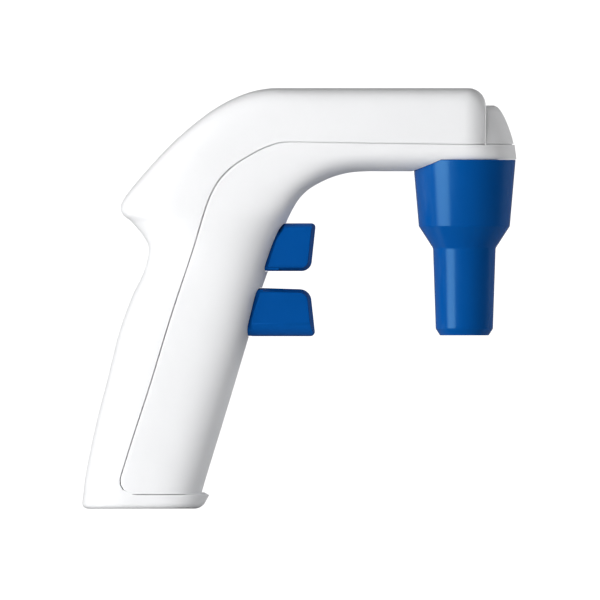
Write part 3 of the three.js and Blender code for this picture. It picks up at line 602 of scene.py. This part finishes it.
def arm_end_rows():
    """Past the cone's axis the sides turn in, and the top rolls down to the flat end."""
    edge = 0.3
    rows = []
    for step in range(1, NOSE_STEPS + 1):
        along = (ARM_END - CONE_X) * math.sin(math.pi / 2 * step / NOSE_STEPS)
        x = CONE_X + along
        drop = drop_of_arc(ARM_END_TOP_RADIUS, x - (ARM_END - ARM_END_TOP_RADIUS))
        turned_in = drop_of_arc(ARM_END_SIDE_RADIUS, along) + drop_of_arc(edge, x - (ARM_END - edge))
        half = ARM_HALF - turned_in
        last = STATIONS[-1]
        section = Section((x, ARM_TOP), (x, ARM_BOTTOM), half, last[3], last[4])
        limit = section.angle_at((NOSE_SEAM + SEAM_GAP / 2 - ARM_MIDDLE) / section.to_back[1])
        row = []
        for i in range(-HALF_COLUMNS, HALF_COLUMNS + 1):
            px, py, pz = section.point(limit * i / HALF_COLUMNS)
            rise = max(pz - ARM_MIDDLE, 0) / (ARM_TOP - ARM_MIDDLE)
            row.append((px, py, pz - drop * rise))
        rows.append(row)
    return rows


def rear_rows():
    """Rows of points from the foot's top to the end of the arm, each from seam to seam."""
    rows = []
    for position in ring_positions(position_at_height(FOOT_TOP + 0.01)):
        section = body_section(position)
        limit = section.seam_angle(1)
        steps = range(-HALF_COLUMNS, HALF_COLUMNS + 1)
        rows.append([section.point(limit * i / HALF_COLUMNS) for i in steps])
    return rows + arm_end_rows()


def foot_point(angle, z, inset=0.0):
    back = (FOOT["back"] + FOOT["back_lean"] * z + inset, z)
    front = (FOOT["front"] + FOOT["front_lean"] * z - inset, z)
    x, y, _ = Section(back, front, FOOT["half"] - inset, FOOT["square"]).point(angle)
    forward = max(0.0, -math.cos(angle))
    return (x + (LIP["width"] + LIP["lean"] * z) * forward, y, z)


def foot_angles():
    """The rear shell's columns, then as many as are needed round the front."""
    limit = body_section(position_at_height(FOOT_TOP + 0.01)).seam_angle(1)
    rear = [limit * i / HALF_COLUMNS for i in range(-HALF_COLUMNS, HALF_COLUMNS + 1)]
    span = 2 * math.pi - 2 * limit
    front = [limit + span * i / HALF_COLUMNS for i in range(1, HALF_COLUMNS)]
    return rear, front


def make_rear_shell():
    """The foot band all round, then the back of the grip and the arm, open towards the front shell."""
    rear, front = foot_angles()
    edge_in, edge_up = 2.6, 2.0
    levels = [(0.0, 10.0), (0.0, 4.5)]
    for i in range(9):
        angle = math.pi / 2 * i / 8
        levels.append((edge_up * (1 - math.cos(angle)), edge_in * (1 - math.sin(angle))))
    levels += [(3.0, 0.0), (4.0, 0.0)]
    bm = bmesh.new()
    rings = [[foot_point(a, z, inset) for a in rear + front] for z, inset in levels]
    foot = rows_of_points(bm, rings, closed=True)
    bm.faces.new(foot[0])
    upper = rows_of_points(bm, rear_rows())
    lip = [bm.verts.new(mm(foot_point(a, FOOT_TOP - GAP / 2))) for a in front]
    join_rows(bm, [foot[-1], upper[0] + lip], closed=True)
    bm.faces.new(upper[-1])
    obj = thicken(new_object("rear_shell", bm), WALL)
    round_edges(obj, EDGE_ROUNDING)
    combine(obj, "DIFFERENCE", upright_rod("socket_hole", SOCKET_X, 0, -2, 6, 4.3))
    return finish(smooth(obj), "housing", "housing_white", "rear_housing")


def make_foot_core():
    """The raised floor of the foot, which stands up inside the walls behind their joint."""
    angles = full_turn(96)
    sections = [body_section(position_at_height(z), WALL + 0.15) for z in (3.6, 7.0)]
    obj = loft("foot_core", [[section.point(a) for a in angles] for section in sections])
    combine(obj, "DIFFERENCE", upright_rod("socket_way", SOCKET_X, 0, 0, 9, 6.8, 48))
    return finish(smooth(obj), "housing", "housing_white")


def make_seam_lip(number, side):
    """The front shell's tongue, which stands inside the rear shell and closes the joint."""
    inset, reach, thickness = 1.6, 1.6, 0.8
    steps = (1, 0.33, -0.33, -1)
    rows = []
    for position in ring_positions(position_at_height(13)):
        section = body_section(position, inset)
        middle = section.seam_share()
        one_mm = 1 / math.hypot(*section.to_back)
        angles = [section.angle_at(middle + reach * one_mm * k) for k in steps]
        rows.append([section.point(side * angle) for angle in angles])
    for step in range(1, NOSE_STEPS + 1):
        x = CONE_X + (ARM_END - 0.3 - CONE_X) * step / NOSE_STEPS
        half = side * (ARM_HALF - inset - drop_of_arc(ARM_END_SIDE_RADIUS, x - CONE_X))
        rows.append([(x, half, NOSE_SEAM + reach * k) for k in steps])
    bm = bmesh.new()
    rows_of_points(bm, rows)
    obj = thicken(new_object(f"seam_lip_{number}", bm), thickness)
    return finish(smooth(obj), "housing", "housing_white")


# ---- Front shell ----
def front_rows():
    """Rows from the foot to the nose, each round the front or the underside from seam to seam."""
    rows = []
    for position in ring_positions(position_at_height(FOOT_TOP + GAP / 2)):
        section = body_section(position)
        limit = section.seam_angle(-1)
        span = 2 * math.pi - 2 * limit
        count = 2 * HALF_COLUMNS
        rows.append([section.point(limit + span * i / count) for i in range(count + 1)])
    return rows + nose_rows(rows[-1])


def nose_rows(arm, inset=0.0):
    """Carries the arm's last section round to the mid-plane, as far as the rim reaches."""
    rows = []
    for step in range(1, NOSE_STEPS + 1):
        angle = math.pi / 2 * step / NOSE_STEPS
        row = []
        for _, y, z in arm:
            reach = read_table(RIM_REACH, z) - inset - CONE_X
            side = 0.0 if step == NOSE_STEPS else y * math.cos(angle)
            row.append((CONE_X + reach * math.sin(angle), side, z))
        rows.append(row)
    return rows


def button_prism(button, grow):
    """The button's outline as seen from the front, carried straight back into the grip."""
    side = BUTTON_HALF + grow
    low, high = button["low"] - grow, button["high"] + grow
    below, above = button["radii"]
    corners = [(-side, low, below), (side, low, below), (side, high, above), (-side, high, above)]
    outline = rounded(corners)
    return loft("prism", [[(x, y, z) for y, z in outline] for x in (-27, 12)])


def below_rim():
    """Everything under the cone's seat in front of the rim's back."""
    return block("below_rim", (RIM_BACK, -30, 100), (CONE_X + 30, 30, CONE_SEAT))


def cone_recess():
    """What the cone's round top takes out of the front shell."""
    return [upright_rod("recess", CONE_X, 0, 100, CONE_SEAT, RECESS_RADIUS, 160), below_rim()]


def make_front_shell():
    """The underside of the arm and the front of the grip, with the buttons' windows."""
    bm = bmesh.new()
    rows_of_points(bm, front_rows())
    bmesh.ops.remove_doubles(bm, verts=bm.verts, dist=1e-6)
    bmesh.ops.dissolve_degenerate(bm, edges=bm.edges, dist=1e-6)
    obj = thicken(new_object("front_shell", bm), WALL)
    round_edges(obj, EDGE_ROUNDING)
    windows = [button_prism(button, HAIRLINE) for button in BUTTONS.values()]
    combine(obj, "DIFFERENCE", *windows, *cone_recess())
    return finish(smooth(obj), "housing", "housing_white", "front_housing")


def make_cone_seat():
    """The flat seat above the cone, with the short wall that closes the back of the recess."""
    angles = full_turn(96)
    inside = 0.5
    last = len(STATIONS) - 1
    arm = [[body_section(p, inside).point(a) for a in angles] for p in (ARM_START + 1, last - 1, last)]
    body = loft("arm_inside", arm + nose_rows(arm[-1], inside))
    low, roof, top = 124, CONE_SEAT + 0.1, CONE_SEAT + 0.1 + WALL
    bore, inner, outer = 12.8, RECESS_RADIUS + 0.05, RECESS_RADIUS + WALL
    obj = lathe("cone_seat", [
        (bore, roof), (inner, roof), (inner, low), (outer, low), (outer, top), (bore, top),
    ], segments=160)
    combine(obj, "INTERSECT", body)
    combine(obj, "DIFFERENCE", below_rim())
    return finish(smooth(obj), "housing", "housing_white")


def cap_ring(z, inset):
    """A round front closed by a straight back, narrowing at the rolled top edge."""
    reach = read_table(CAP_REACH, z) - inset - CONE_X
    tuck = drop_of_arc(CAP["edge"], z - (CAP["top"] - CAP["edge"]))
    side = ARM_HALF - CAP["inset"] - tuck - inset
    start = math.asin((ARM_END + HAIRLINE - CONE_X) / reach)
    sweep = math.pi - 2 * start
    angles = [start + sweep * i / 72 for i in range(73)]
    return [(CONE_X + reach * math.sin(a), side * math.cos(a), z) for a in angles]


def make_nose_cap():
    """The cap stands on a narrower foot, which shows as a fine dark line above the rim."""
    low = NOSE_SEAM - SEAM_GAP / 2 + HAIRLINE / 2
    step = NOSE_SEAM + SEAM_GAP / 2
    straight = CAP["top"] - CAP["edge"]
    foot_inset, corner = 0.6, 0.12
    levels = [(low, foot_inset), (step, foot_inset), (step, corner), (step + corner, 0.0)]
    levels += [(step + (straight - step) * i / 14, 0.0) for i in range(1, 15)]
    levels += [(straight + CAP["edge"] * math.sin(math.pi / 2 * i / 10), 0.0) for i in range(1, 11)]
    obj = loft("cap_shell", [cap_ring(z, inset) for z, inset in levels])
    round_edges(obj, 0.12, 2, 60)
    return finish(smooth(obj), "housing", "housing_white", "nose_cap")


# ---- Cone, adapter, filter and receptacle ----
def make_cone():
    """The screw-on cone: outside from the mouth up, then the bore back down."""
    top = CONE_SEAT - HAIRLINE
    corners = [
        (7.6, 64.1, 0.3), (9.0, 64.1, 0.5), (10.6, 66.6, 0.8), (11.6, 96.4, 2.2), (16.85, 104.5, 0.9),
        (19.0, top, 0.35), (17.2, top, 0.3), (16.9, 125.5, 0.3), (12.9, 125.5, 0.3), (12.9, 119.0, 0),
        (16.1, 119.0, 0.4), (14.9, 105.6, 0.6), (9.8, 97.4, 0.6), (8.8, 68.0, 0.3), (7.6, 66.2, 0.2),
    ]
    obj = lathe("cone_shell", rounded(corners))
    return finish(smooth(obj, 30), "nose_cone", "cone_blue", "nose_cone")


def make_adapter():
    """The silicone sleeve that grips the pipette: a mouth, soft ribs in the bore, and a flange."""
    corners = [
        (5.2, 67.4, 0.8), (7.2, 67.4, 0.5), (8.4, 69.6, 0.5), (8.4, 97.4, 0.5), (10.3, 99.9, 0.3),
        (10.3, 103.0, 0.3), (3.4, 103.0, 0.2), (3.4, 96.5, 0), (1.6, 95.5, 0), (1.6, 87.5, 0.2),
        (3.8, 86.0, 0.3),
    ]
    ribs = []
    for i in range(6):
        z = 83.5 - 2.6 * i
        bore = 5.2 - 1.4 * (z - 67.4) / 18.6
        ribs += [(bore, z + 0.7, 0.1), (bore - 0.35, z, 0.2), (bore, z - 0.7, 0.1)]
    obj = lathe("adapter_sleeve", rounded(corners + ribs, steps=4), segments=80)
    return finish(smooth(obj, 30), "pipette_adapter", "silicone", "pipette_adapter")


def make_filter():
    """The membrane filter: a welded disc with a stepped rim between two spigots."""
    corners = [
        (1.5, 97.2, 0.1), (3.0, 97.2, 0.2), (3.1, 105.0, 0.5), (8.6, 105.7, 0.2), (8.9, 106.0, 0.2),
        (11.6, 106.0, 0.3), (12.3, 106.6, 0.3), (12.3, 108.1, 0.1), (12.0, 108.3, 0.05), (12.0, 108.9, 0.05),
        (12.3, 109.1, 0.1), (12.3, 110.6, 0.3), (11.6, 111.2, 0.3), (8.9, 111.2, 0.2), (8.6, 111.5, 0.2),
        (3.1, 112.2, 0.5), (3.0, 119.0, 0.2), (1.5, 119.0, 0.1),
    ]
    obj = lathe("filter_disc", rounded(corners, steps=4), segments=96)
    return finish(smooth(obj, 30), "membrane_filter", "natural_plastic", "membrane_filter")


def make_receptacle():
    """The threaded socket above the cone, with its nipple inside the arm."""
    thread = []
    for i in range(3):
        z = 118.6 + 2.1 * i
        thread += [(12.1, z, 0.1), (12.6, z + 0.55, 0.15), (12.6, z + 0.85, 0.15), (12.1, z + 1.4, 0.1)]
    corners = [
        (3.4, 117.0, 0.3), (12.1, 117.0, 0.5), *thread,
        (12.4, 124.6, 0.1), (12.4, 125.9, 0.2), (11.5, 125.9, 0.1), (11.5, 127.4, 0.1),
        (12.4, 127.4, 0.2), (12.4, 131.7, 0), (15.2, 131.7, 0.2), (15.2, 134.0, 0.2),
        (3.5, 134.0, 0.4), (3.5, 135.6, 0.2), (1.2, 136.0, 0.2), (1.2, 141.0, 0.2), (0.6, 141.0, 0),
        (0.6, 121.5, 0), (3.4, 121.5, 0.2),
    ]
    obj = lathe("receptacle_body", rounded(corners, steps=3), segments=96)
    ears = []
    for side in (-1, 1):
        ears.append(upright_rod("ear", CONE_X, side * SEAT_SCREW_Y, 131.7, 134.0, 2.0, 32))
    combine(obj, "UNION", *ears)
    return finish(smooth(obj, 30), "housing", "grey_plastic", "cone_receptacle")


def make_o_ring():
    radius, height, thickness = 12.35, 126.6, 0.55
    points = [(radius + u, height + v) for u, v in circle(thickness, 20)]
    obj = lathe("o_ring", points, segments=96)
    return finish(smooth(obj, 60), "housing", "black_rubber", "receptacle_o_ring")


def make_seat_screw(number, side):
    """A pan-head screw with a cross recess, its head under the seat."""
    y = side * SEAT_SCREW_Y
    head = CONE_SEAT - GAP
    low, rim, tip = head - 1.3, head - 0.7, 144.0
    profile = [
        (0, low, 0), (1.2, low, 0.3), (1.7, rim, 0.3), (1.7, head, 0.05), (1.0, head, 0.1),
        (1.0, tip - 0.8, 0), (0.3, tip, 0), (0, tip, 0),
    ]
    obj = lathe(f"seat_fixing_{number}", rounded(profile, steps=3), y=y, segments=40)
    for along_x, along_y in ((1.0, 0.17), (0.17, 1.0)):
        near = (CONE_X - along_x, y - along_y, head - 2)
        far = (CONE_X + along_x, y + along_y, rim)
        combine(obj, "DIFFERENCE", block("slot", near, far))
    return finish(smooth(obj, 30), "housing", "steel", f"seat_screw_{number}")


# ---- Buttons and springs ----
def make_button(name, button):
    """A pad with steep tapering sides on a narrower skirt, hollow behind for its spring and stem."""
    taper, shrink, edge = 3.2, 1.3, 0.4
    half = BUTTON_HALF
    levels = [(half - taper, 0.0)]
    for i in range(7):
        angle = math.pi / 2 * i / 6
        levels.append((half - edge + edge * math.sin(angle), shrink + edge * (1 - math.cos(angle))))
    levels = [(-y, inset) for y, inset in reversed(levels)] + levels
    rows = [[(x, y, z) for x, z in rounded(button["pad"], inset, 10)] for y, inset in levels]
    obj = loft(f"{name}_pad", rows)
    centre = (button["low"] + button["high"]) / 2
    inner = min(x for x, _, _ in button["pad"])
    near = (button["skirt"], -SKIRT_HALF, button["low"] + 0.1)
    far = (inner + 6, SKIRT_HALF, button["high"] - 0.7)
    pocket = rod_along_x("pocket", button["skirt"] - 5, button["pocket"], centre, POCKET_RADIUS)
    combine(obj, "UNION", block("skirt", near, far))
    combine(obj, "INTERSECT", button_prism(button, 0))
    combine(obj, "DIFFERENCE", pocket)
    return finish(smooth(obj, 30), f"{name}_button", "button_blue", f"{name}_button")


def make_spring(name, button):
    """The return spring behind a button: a fixed coil from the block to the button's pocket."""
    wire = 0.35
    start = BLOCK_FRONT + wire + GAP
    end = button["pocket"] - wire - GAP
    centre = (button["low"] + button["high"]) / 2
    coil, turns, steps = 5.0, 5, 160
    rows = []
    for i in range(steps + 1):
        t = i / steps
        angle = 2 * math.pi * turns * t
        outward = Vector((0, math.cos(angle), math.sin(angle)))
        middle = Vector((start + (end - start) * t, 0, centre)) + outward * coil
        ring = [middle + Vector((u, 0, 0)) + outward * v for u, v in circle(wire, 8)]
        rows.append([tuple(point) for point in ring])
    obj = loft(f"{name}_coil", rows)
    finish(smooth(obj, 60), "housing", "steel", f"{name}_spring")
    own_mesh(obj)


# ---- Charging socket ----
def make_charge_socket():
    """The round inlet in the foot: a stepped barrel with a rounded mouth, and the pin in its bore."""
    outline = rounded([
        (3.1, 0.6, 0.3), (4.0, 0.6, 0.2), (4.0, 3.4, 0), (5.2, 3.4, 0.3), (5.2, 11.6, 0.3),
        (0, 11.6, 0), (0, 9.0, 0), (3.1, 9.0, 0),
    ], steps=4)
    barrel = lathe("socket_barrel", outline, x=SOCKET_X, segments=64)
    finish(smooth(barrel, 30), "housing", "black_rubber", "charge_socket")
    outline = rounded([(0, 1.6, 0), (0.65, 1.6, 0.4), (0.65, 9.2, 0), (0, 9.2, 0)], steps=4)
    pin = lathe("socket_pin", outline, x=SOCKET_X, segments=32)
    finish(smooth(pin, 30), "housing", "steel")


# ---- Assembly ----
make_rear_shell()
make_foot_core()
for number, side in ((1, -1), (2, 1)):
    make_seam_lip(number, side)
make_front_shell()
make_cone_seat()
make_nose_cap()
make_cone()
make_adapter()
make_filter()
make_receptacle()
make_o_ring()
for number, side in ((1, -1), (2, 1)):
    make_seat_screw(number, side)
for name, button in BUTTONS.items():
    make_button(name, button)
for name, button in BUTTONS.items():
    make_spring(name, button)
make_charge_socket()

for subpart in frame["record"]["subparts"]:
    node = bpy.data.objects[subpart["node"]]
    node.data.materials.clear()
    node.data.materials.append(MATERIALS[subpart["material_slot"]])


# ---- Floor, light and camera ----
def make_floor():
    bm = bmesh.new()
    reach = 12.0
    corners = ((-reach, -reach), (reach, -reach), (reach, reach), (-reach, reach))
    bm.faces.new([bm.verts.new((x, y, 0)) for x, y in corners])
    floor = new_object("floor", bm)
    paper = moulded("floor_paper", (0.8, 0.8, 0.8), 0.9, grain=60, strength=0.05, variation=0.01)
    floor.data.materials.append(paper)
    floor.visible_glossy = False


def area_light(name, azimuth, height, distance, size, power, seen_in_gloss=True):
    """A soft light aimed at the object. Azimuth is in degrees from the front, positive to the right."""
    data = bpy.data.lights.new(name, "AREA")
    data.shape = "RECTANGLE"
    data.size, data.size_y = size
    data.energy = power
    obj = bpy.data.objects.new(name, data)
    turn = math.radians(azimuth)
    target = Vector((0, 0, 0.08))
    obj.location = target + Vector((math.sin(turn) * distance, -math.cos(turn) * distance, height))
    obj.rotation_euler = (target - obj.location).to_track_quat("-Z", "Y").to_euler()
    obj.visible_glossy = seen_in_gloss
    bpy.context.scene.collection.objects.link(obj)


def make_world():
    """A white backdrop behind the object, dimmer in reflections, and a dim room in front and above."""
    world = bpy.data.worlds.new("studio")
    bpy.context.scene.world = world
    world.use_nodes = True
    nodes, links = world.node_tree.nodes, world.node_tree.links
    background = nodes["Background"]
    background.inputs["Color"].default_value = (1, 1, 1, 1)
    split = nodes.new("ShaderNodeSeparateXYZ")
    links.new(nodes.new("ShaderNodeTexCoord").outputs["Generated"], split.inputs[0])

    def ramp(source, start, end, low, high):
        node = nodes.new("ShaderNodeMapRange")
        node.interpolation_type = "SMOOTHSTEP"
        for label, value in zip(("From Min", "From Max", "To Min", "To Max"), (start, end, low, high)):
            node.inputs[label].default_value = value
        links.new(source, node.inputs["Value"])
        return node.outputs["Result"]

    def math_node(operation, first, second):
        node = nodes.new("ShaderNodeMath")
        node.operation = operation
        for socket, value in zip(node.inputs, (first, second)):
            if isinstance(value, float):
                socket.default_value = value
            else:
                links.new(value, socket)
        return node.outputs[0]

    behind = ramp(split.outputs["Y"], 0.0, 0.35, 0.0, 1.1)
    low_down = ramp(split.outputs["Z"], 0.2, 0.8, 1.0, 0.25)
    room = math_node("ADD", math_node("MULTIPLY", behind, low_down), 0.06)
    path = nodes.new("ShaderNodeLightPath").outputs
    seen_in_gloss = ramp(path["Is Glossy Ray"], 0.0, 1.0, 1.0, 0.12)
    lighting = math_node("MULTIPLY", room, seen_in_gloss)
    links.new(math_node("MAXIMUM", lighting, path["Is Camera Ray"]), background.inputs["Strength"])


def make_camera():
    """A level camera square to the object's side, without perspective."""
    data = bpy.data.cameras.new("camera")
    data.type = "ORTHO"
    data.ortho_scale = 0.222
    camera = bpy.data.objects.new("camera", data)
    camera.location = (0.0002, -1.5, 0.0772)
    camera.rotation_euler = (math.pi / 2, 0, 0)
    bpy.context.scene.collection.objects.link(camera)
    bpy.context.scene.camera = camera


make_floor()
area_light("side", -52, 0.05, 1.1, (0.7, 0.9), 7)
area_light("front", -34, 0.03, 1.5, (1.0, 0.9), 27, seen_in_gloss=False)
area_light("rim", 120, 0.05, 1.0, (0.5, 0.9), 6, seen_in_gloss=False)
make_world()
make_camera()
bpy.context.scene.view_settings.view_transform = "Standard"
